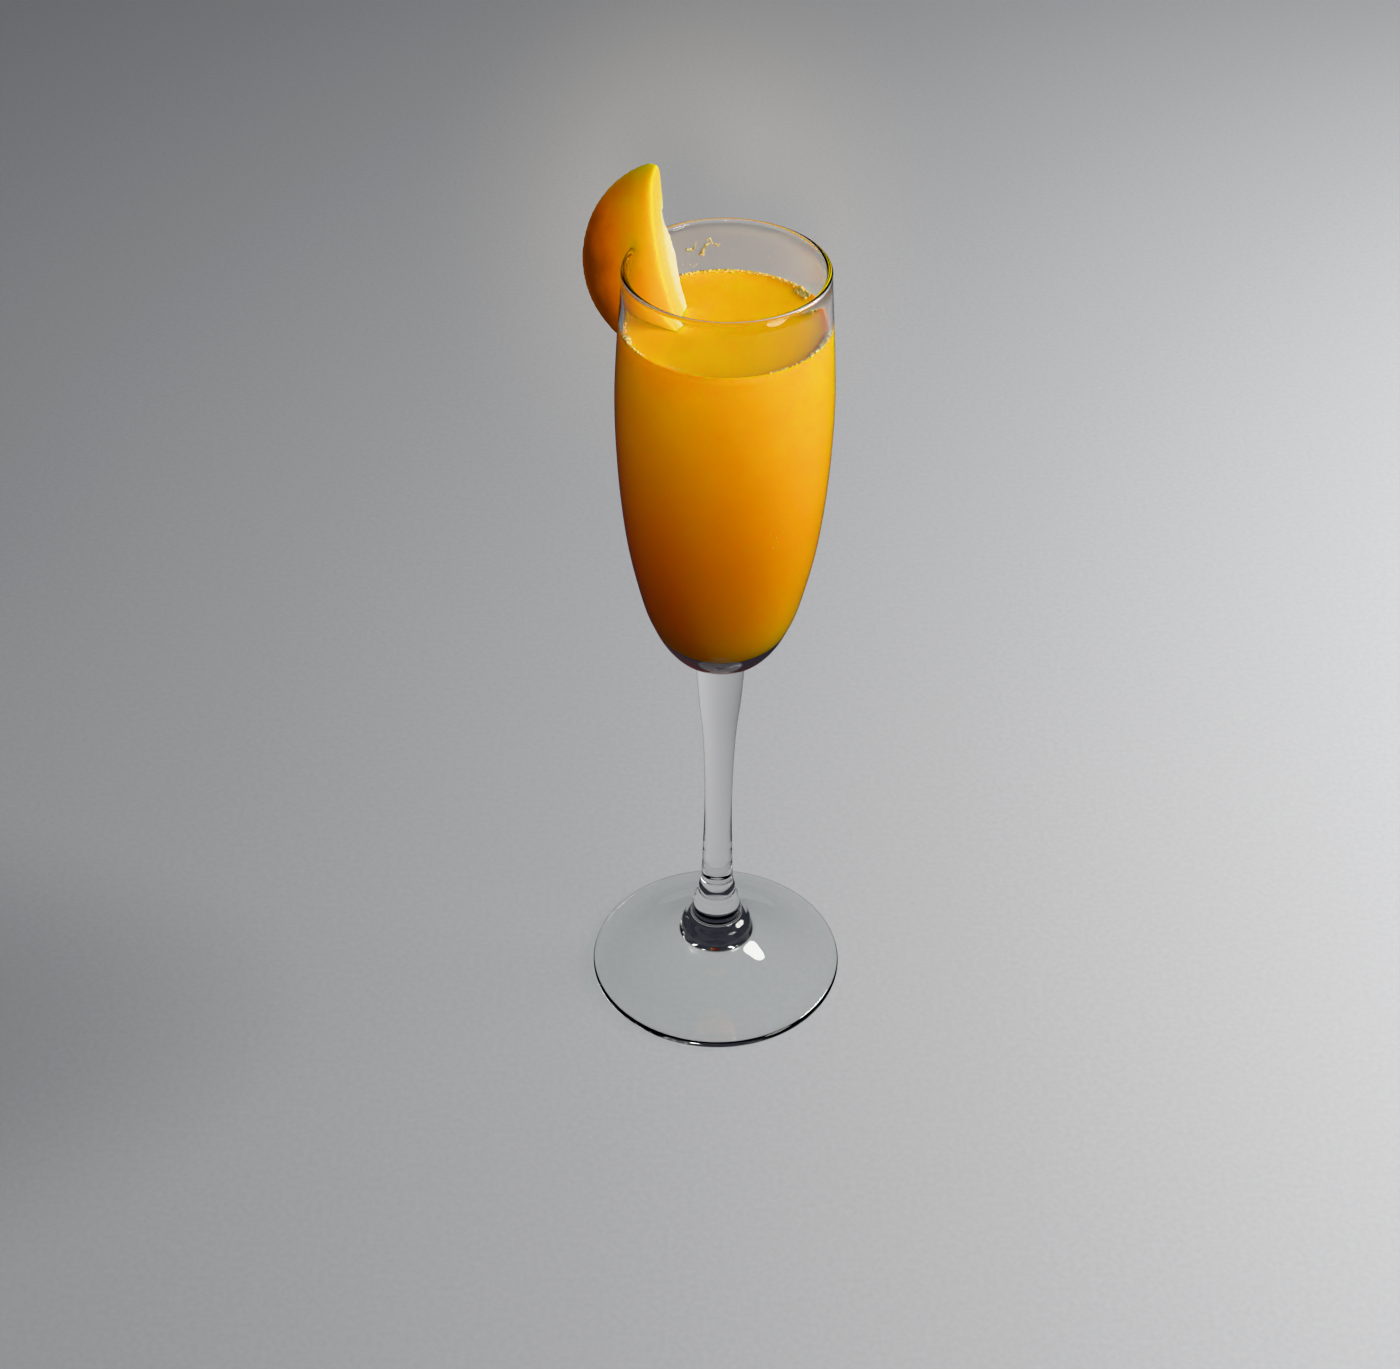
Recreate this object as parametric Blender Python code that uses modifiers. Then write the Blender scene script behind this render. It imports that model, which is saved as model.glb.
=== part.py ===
# Flute glass of peach cocktail with a peach wedge on its rim. Metres, +Z up,
# origin at the centre of the foot's underside, +Y away from the front.
import math

import bmesh
import bpy
from mathutils import Euler, Matrix, Vector

MM = 0.001

# Driving dimensions of the glass
GLASS_HEIGHT = 215.0 * MM
RIM_RADIUS = 23.5 * MM
RIM_BEAD_RADIUS = 0.72 * MM
FOOT_RADIUS = 33.35 * MM
FOOT_EDGE = 2.4 * MM
INNER_BOTTOM = 113.5 * MM

# Driving dimensions of what it holds
DRINK_LEVEL = 200.5 * MM
CLEARANCE = 0.3 * MM
SLOT_BOTTOM = 180.0 * MM

# The fruit that the wedge is cut from, a slightly flat round, and where it sits
FRUIT_RADIUS = 32.3 * MM
FRUIT_HALF_HEIGHT = 29.2 * MM
FRUIT_CENTRE = Vector((-2.8, 30.0, 201.1)) * MM
FRUIT_TILT = Euler((math.radians(6.6), math.radians(1.9), 0.0))

# The straight inner edge where the wedge's two cut faces meet at a right angle
EDGE_POINT = Vector((-11.2, 12.0, 208.0)) * MM
EDGE_AZIMUTH = math.radians(110.5)
EDGE_RISE = math.radians(50.7)
FACE_TURN = math.radians(37.1)

# The wedge's upper end is cut blunt by a plane through this point, facing this way
TIP_POINT = Vector((-16.66, 25.05, 226.4)) * MM
TIP_FACING = Vector((0.648, 0.647, 0.402)).normalized()

# How finely the shapes are built
TURN_STEPS = 48
FRUIT_SEGMENTS = 40
FRUIT_RINGS = 24
WALL_STEPS_PER_SPAN = 2
STEM_STEPS_PER_SPAN = 1
RIM_STEPS = 7
RIM_ARC = (200.0, -20.0)
FOOT_STEPS = 4
FOOT_ARC = (70.0, -90.0)
MERGE_DISTANCE = 0.02 * MM
SHARP_ANGLE = math.radians(35)

# Outer outline from under the rim to the foot, as (radius, height) in mm
BOWL_OUTSIDE = [
    (23.62, 210.5), (24.55, 197.0), (25.25, 183.0), (25.1, 170.0), (24.2, 155.0),
    (22.4, 140.0), (19.2, 125.0), (16.8, 118.0), (14.6, 113.4), (11.8, 109.6), (9.0, 107.6),
    (7.0, 106.8),
]
STEM = [
    (6.2, 105.6), (5.95, 102.0), (5.75, 98.5), (5.2, 91.0), (4.3, 82.0), (3.75, 70.0),
    (3.55, 55.0), (3.8, 43.0), (4.0, 36.0),
]
KNOB = [
    (4.25, 31.0), (4.8, 28.4), (4.95, 26.6), (5.9, 24.2), (6.5, 21.4), (6.7, 19.4), (7.3, 18.4),
    (8.6, 17.2), (9.3, 15.4), (9.6, 13.6), (10.4, 12.0), (13.0, 10.2),
]
FOOT_TOP = [(17.5, 7.8), (24.0, 4.9), (31.0, 2.55)]

# The foot stands on a flat ring, and its underside is hollow inside that
FOOT_UNDERSIDE = [
    (29.2, 0.0), (28.0, 0.25), (24.0, 1.6), (17.5, 4.4), (11.0, 7.4), (5.0, 9.3), (0.0, 9.8),
]

# Inner outline from the middle of the bowl's floor up to the rim
BOWL_INSIDE = [
    (4.0, 113.9), (7.6, 115.4), (10.8, 118.4), (13.6, 122.7), (16.8, 130.0), (19.6, 138.5),
    (21.6, 147.0), (23.1, 157.5), (23.95, 170.0), (24.1, 183.0), (23.4, 197.0), (22.45, 210.5),
]


def points(pairs):
    return [Vector((r * MM, 0.0, z * MM)) for r, z in pairs]


def smooth(stations, per_span):
    """Catmull-Rom curve through the stations."""
    ends = [2 * stations[0] - stations[1]] + stations + [2 * stations[-1] - stations[-2]]
    curve = []
    for i in range(1, len(ends) - 2):
        a, b, c, d = ends[i - 1:i + 3]
        for k in range(per_span):
            t = k / per_span
            curve.append(0.5 * (2 * b + (c - a) * t + (2 * a - 5 * b + 4 * c - d) * t * t
                                + (3 * b - a - 3 * c + d) * t ** 3))
    return curve + [stations[-1]]


def arc(centre, radius, span, steps):
    """Points round a centre in the XZ plane, the span in degrees from +X."""
    start, end = span
    bend = []
    for k in range(steps + 1):
        angle = math.radians(start + (end - start) * k / steps)
        bend.append(centre + radius * Vector((math.cos(angle), 0.0, math.sin(angle))))
    return bend


def offset(curve, distance):
    """Moves an outline sideways, to the right of its own direction."""
    moved = []
    for i, point in enumerate(curve):
        along = curve[min(i + 1, len(curve) - 1)] - curve[max(i - 1, 0)]
        side = Vector((along.z, 0.0, -along.x)).normalized()
        moved.append(point + side * distance)
    return moved


def rim_bead(grow=0.0):
    """The rounded rim, from its inner side over the top to its outer side."""
    centre = Vector((RIM_RADIUS - RIM_BEAD_RADIUS, 0.0, GLASS_HEIGHT - RIM_BEAD_RADIUS))
    return arc(centre, RIM_BEAD_RADIUS + grow, RIM_ARC, RIM_STEPS)


def inner_wall():
    floor = Vector((0.0, 0.0, INNER_BOTTOM))
    return smooth([floor] + points(BOWL_INSIDE), WALL_STEPS_PER_SPAN)


def outer_wall():
    return smooth(points(BOWL_OUTSIDE), WALL_STEPS_PER_SPAN)


def glass_outline():
    """Closed half outline: up the inside, over the rim and down to the foot's underside."""
    edge_radius = FOOT_EDGE / 2
    edge_centre = Vector((FOOT_RADIUS - edge_radius, 0.0, edge_radius))
    lower = smooth(points(STEM + KNOB + FOOT_TOP), STEM_STEPS_PER_SPAN)
    foot = arc(edge_centre, edge_radius, FOOT_ARC, FOOT_STEPS) + points(FOOT_UNDERSIDE)
    return inner_wall() + rim_bead() + outer_wall() + lower + foot


def wall_outline():
    """The bowl's wall from below the wedge up, grown by the clearance all round."""
    inside = [p for p in offset(inner_wall(), -CLEARANCE) if p.z > SLOT_BOTTOM]
    outside = [p for p in offset(outer_wall(), -CLEARANCE) if p.z > SLOT_BOTTOM]
    ring = inside + rim_bead(CLEARANCE) + outside
    return ring + [ring[0]]


def radius_at(curve, height):
    for low, high in zip(curve, curve[1:]):
        if low.z <= height <= high.z:
            share = (height - low.z) / (high.z - low.z)
            return low.x + (high.x - low.x) * share
    return curve[-1].x


def drink_outline():
    """Flat top at the drink's level, then down the glass's inside with the clearance."""
    inside = offset(inner_wall(), -CLEARANCE)
    inside[0] = Vector((0.0, 0.0, INNER_BOTTOM + CLEARANCE))
    brim = Vector((radius_at(inside, DRINK_LEVEL), 0.0, DRINK_LEVEL))
    under = [p for p in inside if p.z < DRINK_LEVEL - CLEARANCE]
    return [Vector((0.0, 0.0, DRINK_LEVEL)), brim] + under[::-1]


def clear_scene():
    for item in list(bpy.data.objects):
        bpy.data.objects.remove(item, do_unlink=True)


def collection(name):
    group = bpy.data.collections.new(name)
    bpy.context.scene.collection.children.link(group)
    return group


def material(name, colour, roughness, transmission=0.0):
    made = bpy.data.materials.new(name)
    made.use_nodes = True
    shader = made.node_tree.nodes["Principled BSDF"]
    shader.inputs["Base Color"].default_value = (*colour, 1.0)
    shader.inputs["Roughness"].default_value = roughness
    shader.inputs["Metallic"].default_value = 0.0
    shader.inputs["Transmission Weight"].default_value = transmission
    return made


def add_object(name, mesh, group, finish=None):
    made = bpy.data.objects.new(name, mesh)
    group.objects.link(made)
    if finish:
        mesh.materials.append(finish)
    return made


def as_cutter(item):
    item.hide_render = True
    item.display_type = "WIRE"
    return item


def turned(name, outline, group, finish=None):
    """A half outline in the XZ plane, turned round Z by a Screw modifier."""
    mesh = bpy.data.meshes.new(name)
    edges = [(i, i + 1) for i in range(len(outline) - 1)]
    mesh.from_pydata([tuple(p) for p in outline], edges, [])
    made = add_object(name, mesh, group, finish)
    screw = made.modifiers.new("turn", "SCREW")
    screw.steps = TURN_STEPS
    screw.render_steps = TURN_STEPS
    screw.use_merge_vertices = True
    screw.merge_threshold = MERGE_DISTANCE
    screw.use_smooth_shade = True
    return made


def cut(item, cutter):
    difference = item.modifiers.new("cut by " + cutter.name, "BOOLEAN")
    difference.operation = "DIFFERENCE"
    difference.solver = "EXACT"
    difference.object = cutter


def wedge_axes():
    """Unit vectors square to the wedge's two long cut faces: out of the narrow, out of the wide."""
    flat = math.cos(EDGE_RISE)
    up = Vector((flat * math.cos(EDGE_AZIMUTH), flat * math.sin(EDGE_AZIMUTH), math.sin(EDGE_RISE)))
    level = up.cross(Vector((0.0, 0.0, 1.0))).normalized()
    narrow = Matrix.Rotation(-FACE_TURN, 3, up) @ level
    return narrow, up.cross(narrow)


def wedge_mesh(name, grow=0.0):
    """The fruit's ellipsoid kept on the inner side of its cuts, grown on every side."""
    body = bmesh.new()
    bmesh.ops.create_uvsphere(body, u_segments=FRUIT_SEGMENTS, v_segments=FRUIT_RINGS, radius=1.0)
    across = FRUIT_RADIUS + grow
    tall = FRUIT_HALF_HEIGHT + grow
    size = Matrix.Diagonal((across, across, tall, 1.0))
    place = Matrix.Translation(FRUIT_CENTRE) @ FRUIT_TILT.to_matrix().to_4x4()
    bmesh.ops.transform(body, matrix=place @ size, verts=body.verts)
    narrow, wide = wedge_axes()
    for place, outward in ((EDGE_POINT, narrow), (EDGE_POINT, wide), (TIP_POINT, TIP_FACING)):
        everything = body.verts[:] + body.edges[:] + body.faces[:]
        bmesh.ops.bisect_plane(body, geom=everything, plane_co=place + outward * grow,
                               plane_no=outward, clear_outer=True)
        border = [e for e in body.edges if e.is_boundary]
        bmesh.ops.holes_fill(body, edges=border)
    bmesh.ops.remove_doubles(body, verts=body.verts, dist=MERGE_DISTANCE)
    bmesh.ops.recalc_face_normals(body, faces=body.faces)
    mesh = bpy.data.meshes.new(name)
    body.to_mesh(mesh)
    body.free()
    mesh.shade_smooth()
    mesh.set_sharp_from_angle(angle=SHARP_ANGLE)
    return mesh


def build():
    clear_scene()
    parts = collection("bellini")
    cutters = collection("cutters")

    clear_glass = material("clear glass", (0.93, 0.95, 0.96), 0.02, transmission=1.0)
    juice = material("peach juice", (0.83, 0.38, 0.01), 0.12)
    flesh = material("peach flesh", (0.78, 0.36, 0.02), 0.45)

    turned("flute_glass", glass_outline(), parts, clear_glass)

    rim_slot = as_cutter(turned("rim_slot", wall_outline(), cutters))
    wedge = add_object("peach_wedge", wedge_mesh("peach_wedge"), parts, flesh)
    cut(wedge, rim_slot)

    pocket = as_cutter(add_object("wedge_pocket", wedge_mesh("wedge_pocket", CLEARANCE), cutters))
    drink = turned("drink", drink_outline(), parts, juice)
    cut(drink, pocket)


build()
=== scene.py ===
import math

import bmesh
import bpy
from mathutils import Euler, Matrix, Vector, bvhtree, noise


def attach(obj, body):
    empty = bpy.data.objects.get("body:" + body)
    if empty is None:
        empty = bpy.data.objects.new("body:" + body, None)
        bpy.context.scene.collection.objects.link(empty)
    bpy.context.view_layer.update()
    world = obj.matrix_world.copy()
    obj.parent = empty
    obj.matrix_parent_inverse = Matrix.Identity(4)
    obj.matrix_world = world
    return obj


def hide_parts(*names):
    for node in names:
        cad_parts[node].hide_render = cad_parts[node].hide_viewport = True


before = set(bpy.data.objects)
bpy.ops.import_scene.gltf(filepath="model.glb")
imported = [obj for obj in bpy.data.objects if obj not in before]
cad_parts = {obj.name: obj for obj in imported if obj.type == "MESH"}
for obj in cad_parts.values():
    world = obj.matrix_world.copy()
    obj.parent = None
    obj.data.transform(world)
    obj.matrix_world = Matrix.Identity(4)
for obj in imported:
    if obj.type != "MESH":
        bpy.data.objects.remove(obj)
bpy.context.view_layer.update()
mm = 0.001


def toLinear(hexCode):
    channels = [int(hexCode[i:i + 2], 16) / 255 for i in (1, 3, 5)]
    return tuple(c / 12.92 if c <= 0.04045 else ((c + 0.055) / 1.055) ** 2.4 for c in channels) + (1.0,)


def addNode(tree, kind, inputs=None, **settings):
    # one node, its settings, and its inputs as values or as sockets to link from
    node = tree.nodes.new(kind)
    for name, value in settings.items():
        setattr(node, name, value)
    for key, value in (inputs or {}).items():
        if isinstance(value, bpy.types.NodeSocket):
            tree.links.new(value, node.inputs[key])
        else:
            node.inputs[key].default_value = value
    return node


def addNoise(tree, where, size, detail=2.0, roughness=0.5):
    # a value between 0 and 1 in blotches of a given size
    return addNode(tree, "ShaderNodeTexNoise", {"Vector": where, "Scale": 1 / size, "Detail": detail,
                                                "Roughness": roughness}).outputs[0]


def addRange(tree, value, low, high, toLow=0.0, toHigh=1.0):
    return addNode(tree, "ShaderNodeMapRange", {"Value": value, "From Min": low, "From Max": high,
                                                "To Min": toLow, "To Max": toHigh}).outputs[0]


def addMath(tree, operation, *values):
    return addNode(tree, "ShaderNodeMath", dict(enumerate(values)), operation=operation).outputs[0]


def addMix(tree, share, first, second, blend="MIX"):
    # the second colour over the first
    return addNode(tree, "ShaderNodeMix", {0: share, 6: first, 7: second}, data_type="RGBA",
                   blend_type=blend).outputs[2]


def addRamp(tree, value, stops):
    # a colour picked by a value, from stops as (position, hex colour)
    node = addNode(tree, "ShaderNodeValToRGB", {"Fac": value})
    ramp = node.color_ramp
    while len(ramp.elements) < len(stops):
        ramp.elements.new(1.0)
    for element, (position, hexCode) in zip(ramp.elements, stops):
        element.position = position
        element.color = toLinear(hexCode)
    return node.outputs[0]


def addBump(tree, height, strength, depth):
    return addNode(tree, "ShaderNodeBump", {"Height": height, "Strength": strength,
                                            "Distance": depth}).outputs[0]


def newMaterial(name):
    # a material, its tree and the place in the object that its patterns follow
    made = bpy.data.materials.new(name)
    made.use_nodes = True
    tree = made.node_tree
    tree.nodes.clear()
    return made, tree, addNode(tree, "ShaderNodeTexCoord").outputs["Object"]


def addSurface(tree, shader):
    addNode(tree, "ShaderNodeOutputMaterial", {"Surface": shader.outputs[0]})


def newTree(name, inputs):
    # a Geometry Nodes tree with named inputs, its entry and its exit
    tree = bpy.data.node_groups.new(name, "GeometryNodeTree")
    tree.interface.new_socket("Geometry", in_out="INPUT", socket_type="NodeSocketGeometry")
    for label, kind in inputs.items():
        tree.interface.new_socket(label, in_out="INPUT", socket_type="NodeSocket" + kind)
    tree.interface.new_socket("Geometry", in_out="OUTPUT", socket_type="NodeSocketGeometry")
    return tree, tree.nodes.new("NodeGroupInput"), tree.nodes.new("NodeGroupOutput")


def closeTree(tree, geometry, entry, out):
    # every tree gives one real mesh, smooth and with its finish
    real = addNode(tree, "GeometryNodeRealizeInstances", {"Geometry": geometry})
    smooth = addNode(tree, "GeometryNodeSetShadeSmooth", {"Geometry": real.outputs[0]})
    finished = addNode(tree, "GeometryNodeSetMaterial", {"Geometry": smooth.outputs[0],
                                                         "Material": entry.outputs["Finish"]})
    tree.links.new(finished.outputs[0], out.inputs[0])
    return tree


def runTree(name, source, tree, values):
    # the tree's result on a source mesh, as a plain mesh object of its own
    holder = bpy.data.objects.new(name + "Source", source)
    bpy.context.scene.collection.objects.link(holder)
    modifier = holder.modifiers.new("build", "NODES")
    modifier.node_group = tree
    for item in tree.interface.items_tree:
        if item.item_type == "SOCKET" and item.in_out == "INPUT" and item.name in values:
            modifier[item.identifier] = values[item.name]
    return bakeObject(holder, name)


def bakeObject(holder, name):
    # the evaluated object as a plain mesh object, with the source and its modifiers gone
    graph = bpy.context.evaluated_depsgraph_get()
    graph.update()
    mesh = bpy.data.meshes.new_from_object(holder.evaluated_get(graph), depsgraph=graph)
    mesh.name = name
    bpy.data.objects.remove(holder)
    piece = bpy.data.objects.new(name, mesh)
    bpy.context.scene.collection.objects.link(piece)
    return piece


def smoothCurve(stations, perSpan):
    # Catmull-Rom through (radius, height) stations
    ends = [2 * stations[0] - stations[1]] + stations + [2 * stations[-1] - stations[-2]]
    curve = []
    for i in range(1, len(ends) - 2):
        a, b, c, d = ends[i - 1:i + 3]
        for k in range(perSpan):
            t = k / perSpan
            curve.append(0.5 * (2 * b + (c - a) * t + (2 * a - 5 * b + 4 * c - d) * t * t
                                + (3 * b - a - 3 * c + d) * t ** 3))
    return curve + [stations[-1]]


def asPoints(pairs):
    return [Vector((r, z)) * mm for r, z in pairs]


def bend(centre, radius, start, end, steps):
    # points round a centre, angles in degrees from the outward side
    turned = []
    for k in range(steps + 1):
        angle = math.radians(start + (end - start) * k / steps)
        turned.append(centre + radius * Vector((math.cos(angle), math.sin(angle))))
    return turned


def moveSideways(curve, distance):
    # to the right of the curve's own direction
    moved = []
    for i, point in enumerate(curve):
        along = curve[min(i + 1, len(curve) - 1)] - curve[max(i - 1, 0)]
        moved.append(point + Vector((along.y, -along.x)).normalized() * distance)
    return moved


def radiusAt(curve, height):
    for low, high in zip(curve, curve[1:]):
        if low.y <= height <= high.y:
            return low.x + (high.x - low.x) * (height - low.y) / (high.y - low.y)
    return curve[-1].x


# A turned piece: its half outline swept round the glass's axis. The guide ring's own radius is taken
# off the outline again, and points closer than the weld become one, as at the poles.
turning = {"guideRadius": 10.0, "weld": 0.002, "segments": 160}


def turnedTree():
    tree, entry, out = newTree("turnedPiece", {"Segments": "Int", "Guide Radius": "Float",
                                               "Finish": "Material"})
    inward = addMath(tree, "MULTIPLY", entry.outputs["Guide Radius"], -1.0)
    centred = addNode(tree, "ShaderNodeCombineXYZ", {"X": inward})
    shifted = addNode(tree, "GeometryNodeTransform", {"Geometry": entry.outputs["Geometry"],
                                                      "Translation": centred.outputs[0]})
    outline = addNode(tree, "GeometryNodeMeshToCurve", {"Mesh": shifted.outputs[0]})
    ring = addNode(tree, "GeometryNodeCurvePrimitiveCircle", {"Resolution": entry.outputs["Segments"],
                                                              "Radius": entry.outputs["Guide Radius"]})
    swept = addNode(tree, "GeometryNodeCurveToMesh", {"Curve": ring.outputs[0],
                                                      "Profile Curve": outline.outputs[0]})
    welded = addNode(tree, "GeometryNodeMergeByDistance", {"Geometry": swept.outputs[0],
                                                           "Distance": turning["weld"] * mm})
    return closeTree(tree, welded.outputs[0], entry, out)


turned = turnedTree()


def turn(name, outline, finish):
    # a profile's Y points down once it is swept round a level ring
    spots = [(p.x, -p.y, 0.0) for p in outline]
    source = bpy.data.meshes.new(name + "Outline")
    source.from_pydata(spots, [(i, i + 1) for i in range(len(spots) - 1)], [])
    piece = runTree(name, source, turned, {"Segments": turning["segments"],
                                           "Guide Radius": turning["guideRadius"] * mm, "Finish": finish})
    fixFaces(piece.data)
    return piece


def fixFaces(mesh):
    body = bmesh.new()
    body.from_mesh(mesh)
    bmesh.ops.recalc_face_normals(body, faces=body.faces)
    if body.calc_volume(signed=True) < 0:
        bmesh.ops.reverse_faces(body, faces=body.faces)
    body.to_mesh(mesh)
    body.free()


def cutBy(piece, cutter, name):
    knife = piece.modifiers.new("cut", "BOOLEAN")
    knife.operation = "DIFFERENCE"
    knife.solver = "MANIFOLD"
    knife.object = cutter
    cut = bakeObject(piece, name)
    bpy.data.objects.remove(cutter)
    return cut


# The glass as (radius, height) stations. An arc is (start and end in degrees, steps).
fluteShape = {
    "height": 215.0, "rimRadius": 23.5, "beadRadius": 0.72, "beadArc": (200, -20, 18),
    "footRadius": 33.35, "footEdge": 2.4, "footArc": (75, -90, 12), "floor": 113.5,
    "outside": [(23.62, 210.5), (24.55, 197.0), (25.25, 183.0), (25.1, 170.0), (24.2, 155.0),
                (22.4, 140.0), (19.2, 125.0), (16.8, 118.0), (14.6, 113.4), (11.8, 109.6),
                (9.0, 107.6), (7.0, 106.8)],
    "stem": [(6.2, 105.6), (5.95, 102.0), (5.75, 98.5), (5.2, 91.0), (4.3, 82.0), (3.75, 70.0),
             (3.55, 55.0), (3.8, 43.0), (4.0, 36.0)],
    "knob": [(4.25, 31.0), (4.8, 28.4), (4.95, 26.6), (5.9, 24.2), (6.5, 21.4), (6.7, 19.4),
             (7.3, 18.4), (8.6, 17.2), (9.3, 15.4), (9.6, 13.6), (10.4, 12.0), (13.0, 10.2)],
    "footTop": [(17.5, 7.8), (24.0, 4.9), (31.0, 2.55)],
    "footUnder": [(29.2, 0.0), (28.0, 0.25), (24.0, 1.6), (17.5, 4.4), (11.0, 7.4), (5.0, 9.3),
                  (0.0, 9.8)],
    "inside": [(4.0, 113.9), (7.6, 115.4), (10.8, 118.4), (13.6, 122.7), (16.8, 130.0),
               (19.6, 138.5), (21.6, 147.0), (23.1, 157.5), (23.95, 170.0), (24.1, 183.0),
               (23.4, 197.0), (22.45, 210.5)],
    "wallSteps": 6, "lowerSteps": 5,
}


# Crystal-clear soda-lime glass, blown and fire-polished: mirror-smooth, hardly tinted in thick parts.
# Lamps shine straight through it, so what it holds is lit.
def clearGlass():
    made, tree, where = newMaterial("sodaLimeGlass")
    # blown walls wander by hundredths of a millimetre over a centimetre or two
    wave = addBump(tree, addNoise(tree, where, 14 * mm, detail=1.0), 0.12, 0.4 * mm)
    body = addNode(tree, "ShaderNodeBsdfPrincipled", {
        "Base Color": toLinear("#fefefe"), "Roughness": 0.0, "IOR": 1.5, "Transmission Weight": 1.0,
        "Normal": wave})
    through = addNode(tree, "ShaderNodeBsdfTransparent", {"Color": toLinear("#f9fbfa")})
    path = addNode(tree, "ShaderNodeLightPath").outputs
    lightOnly = addMath(tree, "MAXIMUM", path["Is Shadow Ray"], path["Is Diffuse Ray"])
    addSurface(tree, addNode(tree, "ShaderNodeMixShader", {0: lightOnly, 1: body.outputs[0],
                                                           2: through.outputs[0]}))
    return made


def rimBead(grow=0.0):
    bead = fluteShape["beadRadius"] * mm
    centre = Vector((fluteShape["rimRadius"] * mm - bead, fluteShape["height"] * mm - bead))
    return bend(centre, bead + grow, *fluteShape["beadArc"])


insideWall = smoothCurve([Vector((0.0, fluteShape["floor"] * mm))] + asPoints(fluteShape["inside"]),
                         fluteShape["wallSteps"])
outsideWall = smoothCurve(asPoints(fluteShape["outside"]), fluteShape["wallSteps"])


def fluteOutline():
    edge = fluteShape["footEdge"] * mm / 2
    edgeCentre = Vector((fluteShape["footRadius"] * mm - edge, edge))
    stations = fluteShape["outside"][-1:] + fluteShape["stem"] + fluteShape["knob"] + fluteShape["footTop"]
    lower = smoothCurve(asPoints(stations), fluteShape["lowerSteps"])[1:]
    under = smoothCurve(asPoints(fluteShape["footUnder"]), fluteShape["lowerSteps"])
    return (insideWall + rimBead() + outsideWall + lower + bend(edgeCentre, edge, *fluteShape["footArc"])
            + under)


flute = turn("fluteGlass", fluteOutline(), clearGlass())
print("flute", len(flute.data.polygons), "faces")


# The wedge: a slightly flat round fruit cut twice, square to each other, and slotted over the rim.
# waver is how far the inner edge stands off straight, as (place along the edge, mm).
# Each mark in the fruit has a height, and a Size for how far apart it comes or a Reach from the edge.
wedgeShape = {
    "radius": 32.3, "halfHeight": 29.2, "centre": (-2.8, 30.0, 201.1), "tilt": (6.6, 1.9, 0.0),
    "edgePoint": (-11.2, 12.0, 208.0), "edgeAzimuth": 110.5, "edgeRise": 50.7, "faceTurn": 37.1,
    "waver": [(-16.0, 0.0), (-8.9, 0.5), (-2.4, 0.15), (4.2, 0.4), (7.5, 0.0), (10.9, -0.7),
              (13.2, -0.6), (14.6, -0.2), (17.8, 0.3), (24.0, 1.0)],
    "waverReach": 3.2, "ragged": 0.22, "raggedReach": 0.8, "raggedSize": 1.1,
    "fibre": 0.05, "fibreSize": 0.9, "dimple": 0.12, "dimpleSize": 9.0, "skinFrom": 0.985,
    "tipCut": (-16.66, 25.05, 226.4), "tipFacing": (0.648, 0.647, 0.402),
    "grain": 0.3, "rounding": 6, "slotGap": -0.06, "slotBottom": 180.0,
}


def wedgeAxes():
    rise, azimuth = math.radians(wedgeShape["edgeRise"]), math.radians(wedgeShape["edgeAzimuth"])
    up = Vector((math.cos(rise) * math.cos(azimuth), math.cos(rise) * math.sin(azimuth), math.sin(rise)))
    level = up.cross(Vector((0, 0, 1))).normalized()
    narrow = Matrix.Rotation(-math.radians(wedgeShape["faceTurn"]), 3, up) @ level
    return narrow, up.cross(narrow), up


def fruitPlace():
    # from a unit sphere to the whole fruit
    size = Matrix.Diagonal((wedgeShape["radius"] * mm, wedgeShape["radius"] * mm,
                            wedgeShape["halfHeight"] * mm, 1.0))
    tilt = Euler([math.radians(a) for a in wedgeShape["tilt"]]).to_matrix().to_4x4()
    return Matrix.Translation(Vector(wedgeShape["centre"]) * mm) @ tilt @ size


narrowOut, wideOut, edgeUp = wedgeAxes()
edgePoint = Vector(wedgeShape["edgePoint"]) * mm


def plainWedge(name, inset=0.0):
    # the whole fruit kept on the inner side of both cuts, blunt at its tip, drawn in all round by the inset
    body = bmesh.new()
    bmesh.ops.create_uvsphere(body, u_segments=128, v_segments=80, radius=1 - inset / wedgeShape["radius"])
    bmesh.ops.transform(body, matrix=fruitPlace(), verts=body.verts)
    tip = (Vector(wedgeShape["tipCut"]) * mm, Vector(wedgeShape["tipFacing"]).normalized())
    for place, outward in ((edgePoint, narrowOut), (edgePoint, wideOut), tip):
        everything = body.verts[:] + body.edges[:] + body.faces[:]
        bmesh.ops.bisect_plane(body, geom=everything, plane_co=place - outward * inset * mm,
                               plane_no=outward, clear_outer=True)
        bmesh.ops.holes_fill(body, edges=[e for e in body.edges if e.is_boundary])
    bmesh.ops.recalc_face_normals(body, faces=body.faces)
    mesh = bpy.data.meshes.new(name)
    body.to_mesh(mesh)
    body.free()
    holder = bpy.data.objects.new(name, mesh)
    bpy.context.scene.collection.objects.link(holder)
    return holder


def wedgeBlank():
    holder = plainWedge("wedgeBlank")
    fine = holder.modifiers.new("even faces", "REMESH")
    fine.mode = "VOXEL"
    fine.voxel_size = wedgeShape["grain"] * mm
    soft = holder.modifiers.new("round edges", "SMOOTH")
    soft.iterations = wedgeShape["rounding"]
    return bakeObject(holder, "wedgeBlank")


def between(stations, place):
    # straight line between (place, value) stations, level past both ends
    for (a, low), (b, high) in zip(stations, stations[1:]):
        if place <= b:
            share = min(max((place - a) / (b - a), 0.0), 1.0)
            return low + (high - low) * share
    return stations[-1][1]


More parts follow.
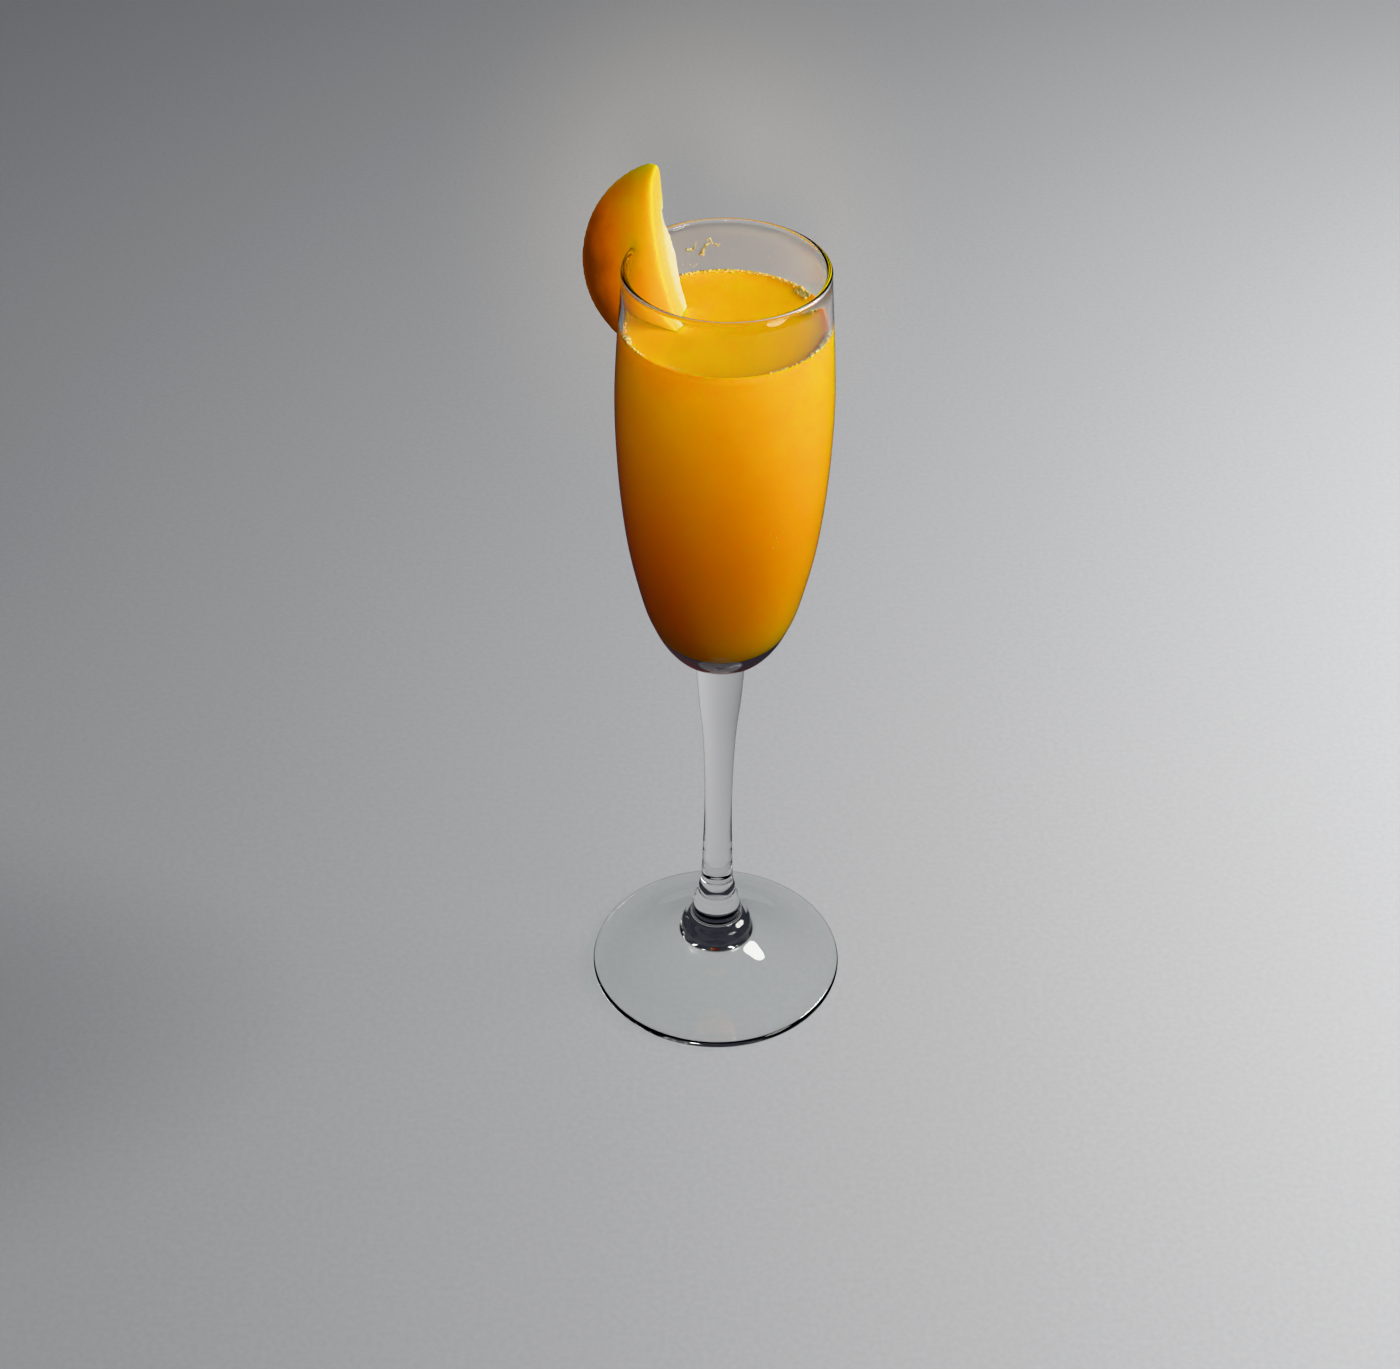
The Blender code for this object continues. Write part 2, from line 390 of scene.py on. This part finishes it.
def shapeWedge(mesh):
    # knife and fibre marks: the inner edge wavers, both cut faces are fibrous, the skin is dimpled
    corner = (narrowOut + wideOut).normalized()
    toFruit = fruitPlace().inverted()
    normals = [v.normal.copy() for v in mesh.vertices]
    for vertex, normal in zip(mesh.vertices, normals):
        offset = vertex.co - edgePoint
        along = offset.dot(edgeUp)
        aside = (offset - edgeUp * along).length
        near = math.exp(-(aside / (wedgeShape["waverReach"] * mm)) ** 2)
        veryNear = math.exp(-(aside / (wedgeShape["raggedReach"] * mm)) ** 2)
        push = between(wedgeShape["waver"], along / mm) * near
        push += wedgeShape["ragged"] * veryNear * noise.noise(vertex.co / (wedgeShape["raggedSize"] * mm))
        onSkin = (toFruit @ vertex.co).length > wedgeShape["skinFrom"]
        mark = "dimple" if onSkin else "fibre"
        rise = wedgeShape[mark] * noise.noise(vertex.co / (wedgeShape[mark + "Size"] * mm))
        vertex.co += corner * push * mm + normal * rise * mm


def slotCutter():
    # the bowl's wall and rim where the wedge is pressed on them, drawn in a hair so that no air shows
    gap = wedgeShape["slotGap"] * mm
    low = wedgeShape["slotBottom"] * mm
    inner = [p for p in moveSideways(insideWall, -gap) if p.y > low]
    outer = [p for p in moveSideways(outsideWall, -gap) if p.y > low]
    ring = inner + rimBead(gap) + outer
    return turn("slotCutter", ring + [ring[0]], None)


wedge = wedgeBlank()
shapeWedge(wedge.data)
wedge = cutBy(wedge, slotCutter(), "peachWedge")
print("wedge", len(wedge.data.polygons), "faces")


# The drink: flat top, climbing a little where it wets the glass, and out into the wall so no air shows.
# A Reach is how far light wanders in it, as millimetres for red and as shares of that by colour.
drinkLook = {
    "level": 200.5, "climb": 1.1, "climbWidth": 1.5, "intoWall": 0.12, "intoWedge": 0.1,
    "climbWedge": 0.7, "climbWedgeWidth": 1.0, "rings": 48, "crowding": 0.7, "brimDrop": 0.4,
    "surfaceAbove": 199.0, "surfaceFacing": 0.35,
    "colour": "#fabe00", "shade": "#f6b200", "surface": "#f8c000", "surfaceShade": "#f4b600",
    # painted shade: the drink is drawn a redder orange towards the bottom, over the heights given next
    "paintedLowShade": "#f69800", "paintedShadeBelow": 150.0, "unshadedAbove": 200.0,
    "reachShares": (1.0, 0.22, 0.02), "deepReach": 90.0,
    "brimReach": 2.0, "brimDepth": 10.0, "narrowReach": 55.0, "narrowBelow": 150.0,
}


# Peach puree in sparkling wine: cloudy, so light wanders centimetres in it and comes out redder.
# Where it lies against the glass it has no shine of its own.
def peachDrink(name, colour, shade, shine, roughness):
    made, tree, where = newMaterial(name)
    cloud = addNoise(tree, where, 9 * mm, detail=3.0, roughness=0.6)
    tone = addRamp(tree, cloud, [(0.3, shade), (0.7, colour)])
    height = addNode(tree, "ShaderNodeSeparateXYZ", {0: where}).outputs["Z"]
    # painted shade: the colour deepens to a redder orange downwards, where less light reaches the drink
    paintedLowShade = addRange(tree, height, drinkLook["paintedShadeBelow"] * mm, drinkLook["unshadedAbove"] * mm, 1.0, 0.0)
    lowShadedTone = addMix(tree, paintedLowShade, tone, toLinear(drinkLook["paintedLowShade"]))
    # pulp shreds of a fifth of a millimetre
    relief = addBump(tree, addNoise(tree, where, 0.5 * mm), 0.05, 0.1 * mm)
    # light wanders less far by the surface and its thin brim, which let it out again, and in the narrow end
    deep = drinkLook["deepReach"] * mm
    upper = addRange(tree, height, (drinkLook["level"] - drinkLook["brimDepth"]) * mm,
                     drinkLook["level"] * mm, deep, drinkLook["brimReach"] * mm)
    lower = addRange(tree, height, fluteShape["floor"] * mm, drinkLook["narrowBelow"] * mm,
                     drinkLook["narrowReach"] * mm, deep)
    addSurface(tree, addNode(tree, "ShaderNodeBsdfPrincipled", {
        "Base Color": lowShadedTone, "Roughness": roughness, "IOR": 1.34, "Specular IOR Level": shine,
        "Subsurface Weight": 1.0, "Subsurface Radius": drinkLook["reachShares"],
        "Subsurface Scale": addMath(tree, "MINIMUM", upper, lower), "Normal": relief}))
    return made


brimHeight = (drinkLook["level"] + drinkLook["climb"]) * mm
brimRadius = radiusAt(moveSideways(insideWall, drinkLook["intoWall"] * mm), brimHeight)


def surfaceHeight(radius):
    climb = drinkLook["climb"] * math.exp((radius - brimRadius) / (drinkLook["climbWidth"] * mm))
    return (drinkLook["level"] + climb) * mm


def drinkOutline():
    # the surface's rings crowd towards the brim, where it climbs
    wall = moveSideways(insideWall, drinkLook["intoWall"] * mm)
    wall[0] = Vector((0.0, (fluteShape["floor"] - drinkLook["intoWall"]) * mm))
    rings = drinkLook["rings"]
    top = [brimRadius * (k / rings) ** drinkLook["crowding"] for k in range(rings + 1)]
    below = [p for p in wall if p.y < brimHeight - drinkLook["brimDrop"] * mm]
    return [Vector((r, surfaceHeight(r))) for r in top] + below[::-1]


def climbWedge(mesh):
    # the surface is drawn up a little where it wets the wedge
    skin = bvhtree.BVHTree.FromObject(wedge, bpy.context.evaluated_depsgraph_get())
    width = drinkLook["climbWedgeWidth"] * mm
    for vertex in mesh.vertices:
        if vertex.co.z < (drinkLook["level"] - 0.01) * mm:
            continue
        nearest, normal, _, distance = skin.find_nearest(vertex.co)
        if (vertex.co - nearest).dot(normal) < 0:
            distance = 0.0
        vertex.co.z += drinkLook["climbWedge"] * mm * math.exp(-distance / width)


atSurface = peachDrink("peachDrinkSurface", drinkLook["surface"], drinkLook["surfaceShade"], 0.5, 0.06)
drink = turn("drinkBlank", drinkOutline(), atSurface)
climbWedge(drink.data)
# the pocket is drawn in by a hair, so drink and wedge overlap and no air shows between them
drink = cutBy(drink, plainWedge("pocketCutter", drinkLook["intoWedge"]), "peachDrink")
drink.data.materials.clear()
drink.data.materials.append(atSurface)
drink.data.materials.append(peachDrink("peachDrinkAtGlass", drinkLook["colour"], drinkLook["shade"],
                                       0.0, 0.5))
for face in drink.data.polygons:
    onTop = face.normal.z > drinkLook["surfaceFacing"] and face.center.z > drinkLook["surfaceAbove"] * mm
    face.material_index = 0 if onTop else 1
print("drink", len(drink.data.polygons), "faces")


# Colours by place from 0 to 1. The skin's places run away from the narrow cut face and the flesh's
# inwards from the skin, both over a From and To in mm, after a Wander of some millimetres.
wedgeLook = {
    # the skin's stops are partly painted light: bright yellow for light coming through by the ridge,
    # orange-red blush, then dark brown painted shade
    "skin": [(0.0, "#f8d010"), (0.12, "#ffc808"), (0.23, "#ffac04"), (0.36, "#ff9404"), (0.5, "#d46c04"),
             (0.62, "#8c4404"), (1.0, "#5c2806")],
    "skinWander": 7.0, "skinFrom": 3.5, "skinTo": 33.5,
    # painted light: a brighter yellow mixed into the skin low down inside the glass
    "paintedLightLowSkin": "#ffc830", "litLowHeight": 8.0, "litLowShare": 0.5, "litLowUpTo": 0.22, "litLowGoneFrom": 0.34,
    "flesh": [(0.0, "#dcbc40"), (0.2, "#ceb44c"), (0.5, "#cab862"), (0.6, "#c6c094"), (1.0, "#c8c4b0")],
    "fleshWander": 3.0, "fleshFrom": 1.5, "fleshTo": 12.5, "cutFrom": 0.3, "cutTo": 1.6,
    "skinRoughness": 0.5, "fleshRoughness": 0.3,
    "reachShares": (1.0, 0.6, 0.15), "skinReach": 7.0, "fleshReach": 3.0,
}


# Ripe peach: thin downy skin over moist flesh that is yellow under the skin and paler inwards. The skin's
# colour is
# partly painted light: a painted glow of bright yellow by the ridge, the peach's orange-red blush, then
# painted shade in dark brown
def peachFruit():
    made, tree, where = newMaterial("peachSkinAndFlesh")
    depth = addNode(tree, "ShaderNodeAttribute", attribute_name="underSkin").outputs["Fac"]
    ridge = addNode(tree, "ShaderNodeAttribute", attribute_name="fromNarrowFace").outputs["Fac"]
    # the edges between painted glow, blush and painted shade wander by a few millimetres
    blotch = addNoise(tree, where, 7 * mm, detail=3.0)
    wander = addMath(tree, "MULTIPLY_ADD", blotch, wedgeLook["skinWander"], ridge)
    skinLitToShaded = addRange(tree, wander, wedgeLook["skinFrom"], wedgeLook["skinTo"])
    # pores and down, a tenth of a millimetre, drawn at three tenths so that they show
    down = addNoise(tree, where, 0.3 * mm)
    # painted glow and painted shade: the skin's ramp runs from lit yellow by the narrow face to shaded dark
    # brown away from it
    skin = addMix(tree, 0.25, addRamp(tree, skinLitToShaded, wedgeLook["skin"]), down, blend="SOFT_LIGHT")
    # painted light: inside the glass the skin just above the drink is drawn brighter and yellower, as light
    # comes through the glass there
    height = addNode(tree, "ShaderNodeSeparateXYZ", {0: where}).outputs["Z"]
    litLowByHeight = addRange(tree, height, drinkLook["level"] * mm,
                      (drinkLook["level"] + wedgeLook["litLowHeight"]) * mm, wedgeLook["litLowShare"], 0.0)
    within = addRange(tree, skinLitToShaded, wedgeLook["litLowUpTo"], wedgeLook["litLowGoneFrom"], 1.0, 0.0)
    paintedLightLowSkin = addMix(tree, addMath(tree, "MULTIPLY", litLowByHeight, within), skin, toLinear(wedgeLook["paintedLightLowSkin"]))
    # fibres half a millimetre apart, running out from the stone to the skin
    drawn = addNode(tree, "ShaderNodeMapping", {
        "Vector": where, "Rotation": edgeUp.to_track_quat("Z", "Y").to_euler(),
        "Scale": (4 * mm, 4 * mm, 0.6 * mm)}, vector_type="TEXTURE")
    fibres = addNoise(tree, drawn.outputs[0], 1.0, detail=4.0, roughness=0.6)
    mottled = addMath(tree, "MULTIPLY_ADD", fibres, wedgeLook["fleshWander"], depth)
    fleshPlace = addRange(tree, mottled, wedgeLook["fleshFrom"], wedgeLook["fleshTo"])
    flesh = addRamp(tree, fleshPlace, wedgeLook["flesh"])
    cutMask = addRange(tree, depth, wedgeLook["cutFrom"], wedgeLook["cutTo"])
    gloss = addRange(tree, cutMask, 0.0, 1.0, wedgeLook["skinRoughness"], wedgeLook["fleshRoughness"])
    reach = addRange(tree, cutMask, 0.0, 1.0, wedgeLook["skinReach"] * mm, wedgeLook["fleshReach"] * mm)
    marks = addNode(tree, "ShaderNodeMix", {0: cutMask, 2: down, 3: fibres}).outputs[0]
    addSurface(tree, addNode(tree, "ShaderNodeBsdfPrincipled", {
        "Base Color": addMix(tree, cutMask, paintedLightLowSkin, flesh), "Roughness": gloss, "IOR": 1.4,
        "Specular IOR Level": 0.25, "Subsurface Weight": 1.0, "Subsurface Scale": reach,
        "Subsurface Radius": wedgeLook["reachShares"], "Normal": addBump(tree, marks, 0.3, 0.15 * mm)}))
    return made


def markDepths(mesh):
    # millimetres under the fruit's skin, and in from the narrow cut face, for the finish to follow
    toFruit = fruitPlace().inverted()
    depth = mesh.attributes.new("underSkin", "FLOAT", "POINT")
    ridge = mesh.attributes.new("fromNarrowFace", "FLOAT", "POINT")
    for vertex in mesh.vertices:
        depth.data[vertex.index].value = (1 - (toFruit @ vertex.co).length) * wedgeShape["radius"]
        ridge.data[vertex.index].value = (edgePoint - vertex.co).dot(narrowOut) / mm


markDepths(wedge.data)
wedge.data.materials.clear()
wedge.data.materials.append(peachFruit())


# Froth where the drink meets the glass, fine at the back and thicker in front.
# A zone is (start and end in degrees round the glass, width in mm, beads per square mm, their size).
frothLook = {
    "zones": [(33, 44, 1.9, 7.0, 1.15), (44, 124, 0.75, 6.0, 0.8), (-178, -164, 0.9, 4.0, 0.9),
              (-164, -156, 1.2, 7.0, 1.3), (-156, -141, 0.9, 3.0, 0.9), (-66, -38, 0.9, 4.0, 0.9),
              (-38, -8, 1.1, 7.0, 1.15)],
    "fromBrim": 0.15, "smallest": 0.12, "largest": 0.42, "seed": 7,
    "colour": "#ffe2a4", "shade": "#ffc45c",
}


# Foam of wine and peach: thin-walled beads, so cream-coloured and soft to the light
def peachFoam(name, look):
    made, tree, where = newMaterial(name)
    patch = addNoise(tree, where, 0.8 * mm)
    film = addNoise(tree, where, 0.15 * mm)
    addSurface(tree, addNode(tree, "ShaderNodeBsdfPrincipled", {
        "Base Color": addRamp(tree, patch, [(0.35, look["shade"]), (0.65, look["colour"])]),
        "Roughness": 0.3, "IOR": 1.34, "Subsurface Weight": 1.0, "Subsurface Radius": (1.0, 0.9, 0.75),
        "Subsurface Scale": 0.4 * mm, "Normal": addBump(tree, film, 0.1, 0.03 * mm)}))
    return made


def beadTree():
    tree, entry, out = newTree("scatteredBeads", {"Smallest": "Float", "Largest": "Float", "Seed": "Int",
                                                  "Finish": "Material"})
    amount = addNode(tree, "GeometryNodeInputNamedAttribute", {"Name": "amount"}, data_type="FLOAT")
    size = addNode(tree, "GeometryNodeInputNamedAttribute", {"Name": "size"}, data_type="FLOAT")
    places = addNode(tree, "GeometryNodeDistributePointsOnFaces", {
        "Mesh": entry.outputs["Geometry"], "Density": amount.outputs["Attribute"],
        "Seed": entry.outputs["Seed"]})
    radius = addNode(tree, "FunctionNodeRandomValue", {
        2: entry.outputs["Smallest"], 3: entry.outputs["Largest"], "Seed": entry.outputs["Seed"]},
        data_type="FLOAT")
    bead = addNode(tree, "GeometryNodeMeshIcoSphere", {"Radius": 1.0, "Subdivisions": 2})
    placed = addNode(tree, "GeometryNodeInstanceOnPoints", {
        "Points": places.outputs[0], "Instance": bead.outputs[0],
        "Scale": addMath(tree, "MULTIPLY", radius.outputs[1], size.outputs["Attribute"])})
    return closeTree(tree, placed.outputs[0], entry, out)


def frothBeds():
    # narrow strips on the drink's surface along the glass, marked with how much froth they carry
    spots, faces, amounts, sizes = [], [], [], []
    outer = frothLook["fromBrim"]
    for start, end, width, amount, size in frothLook["zones"]:
        for degree in range(start, end):
            for angle, inset in ((degree, width), (degree, outer), (degree + 1, outer), (degree + 1, width)):
                radius = brimRadius - inset * mm
                around = math.radians(angle)
                spots.append((radius * math.cos(around), radius * math.sin(around), surfaceHeight(radius)))
            faces.append(tuple(range(len(spots) - 4, len(spots))))
            amounts.append(amount / mm ** 2)
            sizes.append(size)
    mesh = bpy.data.meshes.new("frothBeds")
    mesh.from_pydata(spots, [], faces)
    mesh.attributes.new("amount", "FLOAT", "FACE").data.foreach_set("value", amounts)
    mesh.attributes.new("size", "FLOAT", "FACE").data.foreach_set("value", sizes)
    return mesh


froth = runTree("frothBeads", frothBeds(), beadTree(), {
    "Smallest": frothLook["smallest"] * mm, "Largest": frothLook["largest"] * mm,
    "Seed": frothLook["seed"], "Finish": peachFoam("peachFoam", frothLook)})
print("froth", len(froth.data.polygons), "faces")


# Splashes of drink that dried on the glass above the level, as strokes and dots of
# (degrees round the glass, height in mm, half width in mm)
splashLook = {
    "strokes": [
        [(114.2, 208.1, 0.3), (113.0, 207.6, 0.36), (112.0, 208.0, 0.3), (110.9, 207.5, 0.36),
         (109.6, 207.9, 0.28), (108.9, 208.9, 0.16), (108.6, 209.7, 0.08)],
        [(104.9, 206.2, 0.46), (104.1, 207.1, 0.42), (103.0, 207.9, 0.36), (101.6, 208.7, 0.32),
         (99.6, 208.6, 0.16)],
        [(102.0, 209.6, 0.26), (100.8, 210.0, 0.3), (99.6, 209.4, 0.22), (98.4, 208.6, 0.16),
         (96.9, 208.4, 0.28), (95.6, 208.0, 0.32), (94.6, 208.5, 0.2)],
    ],
    "dots": [(105.5, 206.0, 0.42), (103.9, 205.9, 0.4), (111.7, 203.6, 0.16), (109.3, 203.1, 0.22),
             (107.6, 203.4, 0.14), (106.1, 204.9, 0.12), (65.7, 206.3, 0.18), (116.1, 204.2, 0.15)],
    "seed": 3, "colour": "#cac4a6", "shade": "#9c9470",
}

# Bubbles of wine clinging to the glass inside the drink
clingLook = {
    "strokes": [],
    "dots": [(-66.0, 157.6, 0.2), (-62.5, 158.4, 0.16), (-59.0, 156.9, 0.22), (-57.0, 155.2, 0.14),
             (-60.5, 154.1, 0.2), (-64.0, 155.0, 0.14), (-54.5, 157.9, 0.18), (-38.0, 159.5, 0.2)],
    "seed": 5, "colour": "#ffd27a", "shade": "#f6b24a",
}

# A stroke's width wavers over half a millimetre, between a fifth and nearly twice its own.
# Marks are sunk into the wall by a share of their half width.
markLook = {"step": 0.12, "waverSize": 0.5, "waverSpan": 1.6, "thinnest": 0.2, "sunk": 0.4,
            "dotSmallest": (0.8, 0.8, 0.8), "dotLargest": (1.2, 1.2, 1.2)}


def strokeTree():
    # edges become round strokes of uneven width, loose points become dots
    tree, entry, out = newTree("strokesAndDots", {"Seed": "Int", "Finish": "Material"})
    marks = entry.outputs["Geometry"]
    half = addNode(tree, "GeometryNodeInputNamedAttribute", {"Name": "halfWidth"}, data_type="FLOAT")
    line = addNode(tree, "GeometryNodeMeshToCurve", {"Mesh": marks})
    soft = addNode(tree, "GeometryNodeCurveSplineType", {"Curve": line.outputs[0]},
                   spline_type="CATMULL_ROM")
    even = addNode(tree, "GeometryNodeResampleCurve", {"Curve": soft.outputs[0],
                                                       "Length": markLook["step"] * mm}, mode="LENGTH")
    waver = addNode(tree, "ShaderNodeTexNoise", {"Scale": 1 / (markLook["waverSize"] * mm)})
    uneven = addMath(tree, "MULTIPLY_ADD", waver.outputs[0], markLook["waverSpan"], markLook["thinnest"])
    ring = addNode(tree, "GeometryNodeCurvePrimitiveCircle", {"Resolution": 8, "Radius": 1.0})
    drawn = addNode(tree, "GeometryNodeCurveToMesh", {
        "Curve": even.outputs[0], "Profile Curve": ring.outputs[0], "Fill Caps": True,
        "Scale": addMath(tree, "MULTIPLY", uneven, half.outputs["Attribute"])})
    joined = addNode(tree, "GeometryNodeInputMeshVertexNeighbors")
    loose = addNode(tree, "FunctionNodeCompare", {2: joined.outputs["Vertex Count"], 3: 0},
                    data_type="INT", operation="EQUAL")
    spots = addNode(tree, "GeometryNodeMeshToPoints", {"Mesh": marks, "Selection": loose.outputs[0]})
    squash = addNode(tree, "FunctionNodeRandomValue", {
        0: markLook["dotSmallest"], 1: markLook["dotLargest"], "Seed": entry.outputs["Seed"]},
        data_type="FLOAT_VECTOR")
    size = addNode(tree, "ShaderNodeVectorMath", {0: squash.outputs[0], 1: half.outputs["Attribute"]},
                   operation="MULTIPLY")
    bead = addNode(tree, "GeometryNodeMeshIcoSphere", {"Radius": 1.0, "Subdivisions": 3})
    dots = addNode(tree, "GeometryNodeInstanceOnPoints", {
        "Points": spots.outputs[0], "Instance": bead.outputs[0], "Scale": size.outputs[0]})
    both = tree.nodes.new("GeometryNodeJoinGeometry")
    tree.links.new(drawn.outputs[0], both.inputs[0])
    tree.links.new(dots.outputs[0], both.inputs[0])
    return closeTree(tree, both.outputs[0], entry, out)


def onWall(degrees, height, halfWidth):
    # a point on the bowl's inner wall, sunk into it so that only the mark's face stands out
    radius = radiusAt(insideWall, height * mm) + markLook["sunk"] * halfWidth * mm
    angle = math.radians(degrees)
    return (radius * math.cos(angle), radius * math.sin(angle), height * mm)


def drawOnWall(name, look, finish):
    places, edges = [], []
    for stroke in look["strokes"]:
        edges += [(len(places) + k, len(places) + k + 1) for k in range(len(stroke) - 1)]
        places += stroke
    places += look["dots"]
    mesh = bpy.data.meshes.new(name)
    mesh.from_pydata([onWall(*place) for place in places], edges, [])
    widths = [place[2] * mm for place in places]
    mesh.attributes.new("halfWidth", "FLOAT", "POINT").data.foreach_set("value", widths)
    return runTree(name, mesh, strokes, {"Seed": look["seed"], "Finish": finish})


strokes = strokeTree()
splashes = drawOnWall("driedSplashes", splashLook, peachFoam("driedPeachJuice", splashLook))
bubbles = drawOnWall("clingingBubbles", clingLook, peachFoam("wineBubbles", clingLook))
print("splashes", len(splashes.data.polygons), "bubbles", len(bubbles.data.polygons), "faces")

for piece, node, slotName in ((flute, "flute_glass", "clear_glass"), (drink, "drink", "peach_juice"),
                              (wedge, "peach_wedge", "peach_flesh")):
    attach(piece, "root")
    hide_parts(node)
for piece in (froth, splashes, bubbles):
    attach(piece, "root")


# The camera stands in front of the glass and looks down at it: places in metres, angles in degrees
cameraFit = {"back": 0.4926, "height": 0.4980, "pitch": 39.166, "pan": -0.584, "roll": 0.567,
             "lens": 65.42, "sensor": 36.0, "clip": (0.01, 50.0)}


def placeCamera():
    pitch, pan, roll = (math.radians(cameraFit[k]) for k in ("pitch", "pan", "roll"))
    ahead = Vector((math.sin(pan) * math.cos(pitch), math.cos(pan) * math.cos(pitch), -math.sin(pitch)))
    right = ahead.cross(Vector((0, 0, 1))).normalized()
    up = right.cross(ahead)
    tiltedRight = math.cos(roll) * right + math.sin(roll) * up
    tiltedUp = math.cos(roll) * up - math.sin(roll) * right
    lens = bpy.data.cameras.new("camera")
    lens.sensor_fit = "HORIZONTAL"
    lens.sensor_width = cameraFit["sensor"]
    lens.lens = cameraFit["lens"]
    lens.clip_start, lens.clip_end = cameraFit["clip"]
    holder = bpy.data.objects.new("camera", lens)
    bpy.context.scene.collection.objects.link(holder)
    facing = Matrix((tiltedRight, tiltedUp, -ahead)).transposed().to_4x4()
    holder.matrix_world = Matrix.Translation((0, -cameraFit["back"], cameraFit["height"])) @ facing
    bpy.context.scene.camera = holder


placeCamera()

# Studio: a large soft box at the right, a weaker one in front of it, a warm snooted lamp on the fruit
# and dim walls. Ways point to the lamps, aims are in mm, distances and sizes in metres, power in watts.
studio = {
    "key": {"way": (0.86, 0.14, 0.49), "aim": (0, 0, 120), "distance": 0.9, "size": 0.5, "power": 11.0,
            "colour": "#fffdf8"},
    "fill": {"way": (0.78, -0.58, 0.22), "aim": (0, 0, 120), "distance": 1.1, "size": 0.5, "power": 5.2,
             "colour": "#fffdf8"},
    "snoot": {"way": (0.0, -0.87, 0.42), "aim": (-14, 0, 212), "distance": 0.8, "size": 0.1, "power": 38.0,
              "colour": "#ffe8c0"},
    "pool": 0.05, "walls": "#8f929b", "wallStrength": 0.2,
    "floor": "#c9cbd0", "floorShade": "#c3c5ca", "floorSize": 8.0, "floorDrop": 0.3,
}


def hangLamp(name, kind, box):
    lamp = bpy.data.lights.new(name, kind)
    lamp.energy = box["power"]
    lamp.color = toLinear(box["colour"])[:3]
    holder = bpy.data.objects.new(name, lamp)
    bpy.context.scene.collection.objects.link(holder)
    way = Vector(box["way"]).normalized()
    holder.location = Vector(box["aim"]) * mm + way * box["distance"]
    holder.rotation_euler = way.to_track_quat("Z", "Y").to_euler()
    return lamp


for name in ("key", "fill"):
    softBox = hangLamp(name + "Box", "AREA", studio[name])
    softBox.shape = "DISK"
    softBox.size = studio[name]["size"]
# a soft-edged pool of light a hundred millimetres across
snoot = hangLamp("fruitSnoot", "SPOT", studio["snoot"])
snoot.shadow_soft_size = studio["snoot"]["size"] / 2
snoot.spot_size = 2 * math.atan(studio["pool"] / studio["snoot"]["distance"])
snoot.spot_blend = 1.0

world = bpy.data.worlds.new("studioWalls")
bpy.context.scene.world = world
world.use_nodes = True
backdrop = world.node_tree.nodes["Background"]
backdrop.inputs["Color"].default_value = toLinear(studio["walls"])
backdrop.inputs["Strength"].default_value = studio["wallStrength"]

# a hair below the foot, so that the two faces don't flicker through each other
bpy.ops.mesh.primitive_plane_add(size=studio["floorSize"], location=(0, 0, -studio["floorDrop"] * mm))
floor = bpy.context.object
floor.name = "floor"


# Matt backdrop paper with a faint fibre grain
def backdropPaper():
    made, tree, where = newMaterial("backdropPaper")
    grain = addNoise(tree, where, 1.5 * mm, detail=3.0)
    tone = addRamp(tree, grain, [(0.3, studio["floorShade"]), (0.7, studio["floor"])])
    addSurface(tree, addNode(tree, "ShaderNodeBsdfPrincipled", {"Base Color": tone, "Roughness": 0.75}))
    return made


floor.data.materials.append(backdropPaper())
# the paper is hidden from mirror reflections and bounced light, as if black cards stood round the glass
floor.visible_glossy = False
floor.visible_diffuse = False

bpy.context.scene.view_settings.view_transform = "Khronos PBR Neutral"
